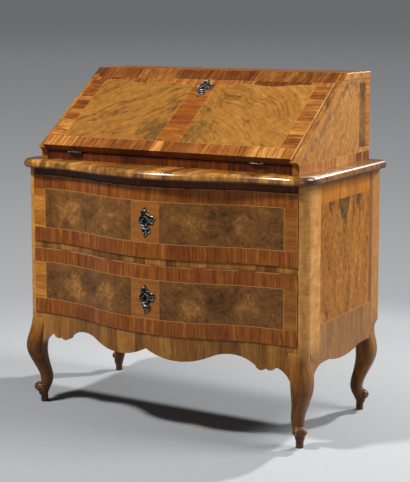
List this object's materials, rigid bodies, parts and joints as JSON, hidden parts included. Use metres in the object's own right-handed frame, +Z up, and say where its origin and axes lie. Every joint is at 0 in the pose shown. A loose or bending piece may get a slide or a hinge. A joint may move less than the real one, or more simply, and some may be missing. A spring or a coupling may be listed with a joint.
{
  "type": "slant-front bureau",
  "caption": "Slant-front writing bureau with a serpentine drawer case on scrolled cabriole legs, a fall flap, fitted pigeonholes and figured veneer.",
  "frame": {"origin": "on the floor, under the middle of the outline of the moulded ledge", "axes": "+Z up, -Y towards the front with the drawers and flap, +X to the right seen from the front"},
  "size_m": [0.98, 0.6039, 1.024],
  "materials": {
    "burl_veneer": "french-polished burl walnut veneer",
    "cross_veneer": "polished cross-grain veneer",
    "walnut_solid": "polished solid walnut",
    "carcase_wood": "plain waxed oak",
    "plate_metal": "dark aged cast brass",
    "hinge_brass": "aged brass",
    "lock_iron": "dull iron"
  },
  "bodies": {
    "case": {"back_left_post": "walnut_solid", "back_right_post": "walnut_solid", "bottom_board": "carcase_wood", "desk_rail": "cross_veneer", "drawer_rail": "cross_veneer", "dust_board": "carcase_wood", "fixed_hinge_leaves": "hinge_brass", "front_apron": "cross_veneer", "front_left_post": "walnut_solid", "front_right_post": "walnut_solid", "hinge_pins": "hinge_brass", "ledge_board": "cross_veneer", "left_partition": "carcase_wood", "left_shelf": "carcase_wood", "left_side_panel": "burl_veneer", "lower_back_panel": "carcase_wood", "rail_hinge_screws": "hinge_brass", "right_partition": "carcase_wood", "right_shelf": "carcase_wood", "right_side_panel": "burl_veneer", "slant_rail": "burl_veneer", "top_rail": "cross_veneer", "upper_back_panel": "carcase_wood", "upper_left_side": "burl_veneer", "upper_right_side": "burl_veneer", "upper_top": "burl_veneer", "writing_bed": "carcase_wood"},
    "flap": {"flap_hinge_leaves": "hinge_brass", "flap_hinge_screws": "hinge_brass", "flap_key_plate": "plate_metal", "flap_lock": "lock_iron", "flap_panel": "burl_veneer"},
    "flap_bolt_bar": {"flap_bolt": "lock_iron"},
    "left_small_drawer": {"left_small_drawer_back": "carcase_wood", "left_small_drawer_bottom": "carcase_wood", "left_small_drawer_front": "carcase_wood", "left_small_drawer_knob": "carcase_wood", "left_small_drawer_sides": "carcase_wood"},
    "lower_drawer": {"lower_drawer_back": "carcase_wood", "lower_drawer_bottom": "carcase_wood", "lower_drawer_front": "burl_veneer", "lower_drawer_key_plate": "plate_metal", "lower_drawer_left_side": "carcase_wood", "lower_drawer_lock": "lock_iron", "lower_drawer_right_side": "carcase_wood"},
    "lower_drawer_bolt_bar": {"lower_drawer_bolt": "lock_iron"},
    "right_small_drawer": {"right_small_drawer_back": "carcase_wood", "right_small_drawer_bottom": "carcase_wood", "right_small_drawer_front": "carcase_wood", "right_small_drawer_knob": "carcase_wood", "right_small_drawer_sides": "carcase_wood"},
    "upper_drawer": {"upper_drawer_back": "carcase_wood", "upper_drawer_bottom": "carcase_wood", "upper_drawer_front": "burl_veneer", "upper_drawer_key_plate": "plate_metal", "upper_drawer_left_side": "carcase_wood", "upper_drawer_lock": "lock_iron", "upper_drawer_right_side": "carcase_wood"},
    "upper_drawer_bolt_bar": {"upper_drawer_bolt": "lock_iron"}
  },
  "joints": [
    {"name": "flap_hinge", "type": "hinge", "parent": "case", "child": "flap", "pos_m": [0, -0.17928, 0.784], "axis": [1, 0, 0], "range_deg": [0, 145.2]},
    {"name": "upper_drawer_slide", "type": "slide", "parent": "case", "child": "upper_drawer", "axis": [0, -1, 0], "range_m": [0, 0.32]},
    {"name": "lower_drawer_slide", "type": "slide", "parent": "case", "child": "lower_drawer", "axis": [0, -1, 0], "range_m": [0, 0.32]},
    {"name": "left_small_drawer_slide", "type": "slide", "parent": "case", "child": "left_small_drawer", "axis": [0, -1, 0], "range_m": [0, 0.1]},
    {"name": "right_small_drawer_slide", "type": "slide", "parent": "case", "child": "right_small_drawer", "axis": [0, -1, 0], "range_m": [0, 0.1]},
    {"name": "upper_drawer_bolt_slide", "type": "slide", "parent": "upper_drawer", "child": "upper_drawer_bolt_bar", "axis": [0, 0, 1], "range_m": [0, 0.007]},
    {"name": "lower_drawer_bolt_slide", "type": "slide", "parent": "lower_drawer", "child": "lower_drawer_bolt_bar", "axis": [0, 0, 1], "range_m": [0, 0.007]},
    {"name": "flap_bolt_slide", "type": "slide", "parent": "flap", "child": "flap_bolt_bar", "axis": [0, 0.8211, 0.5707], "range_m": [0, 0.007]}
  ]
}
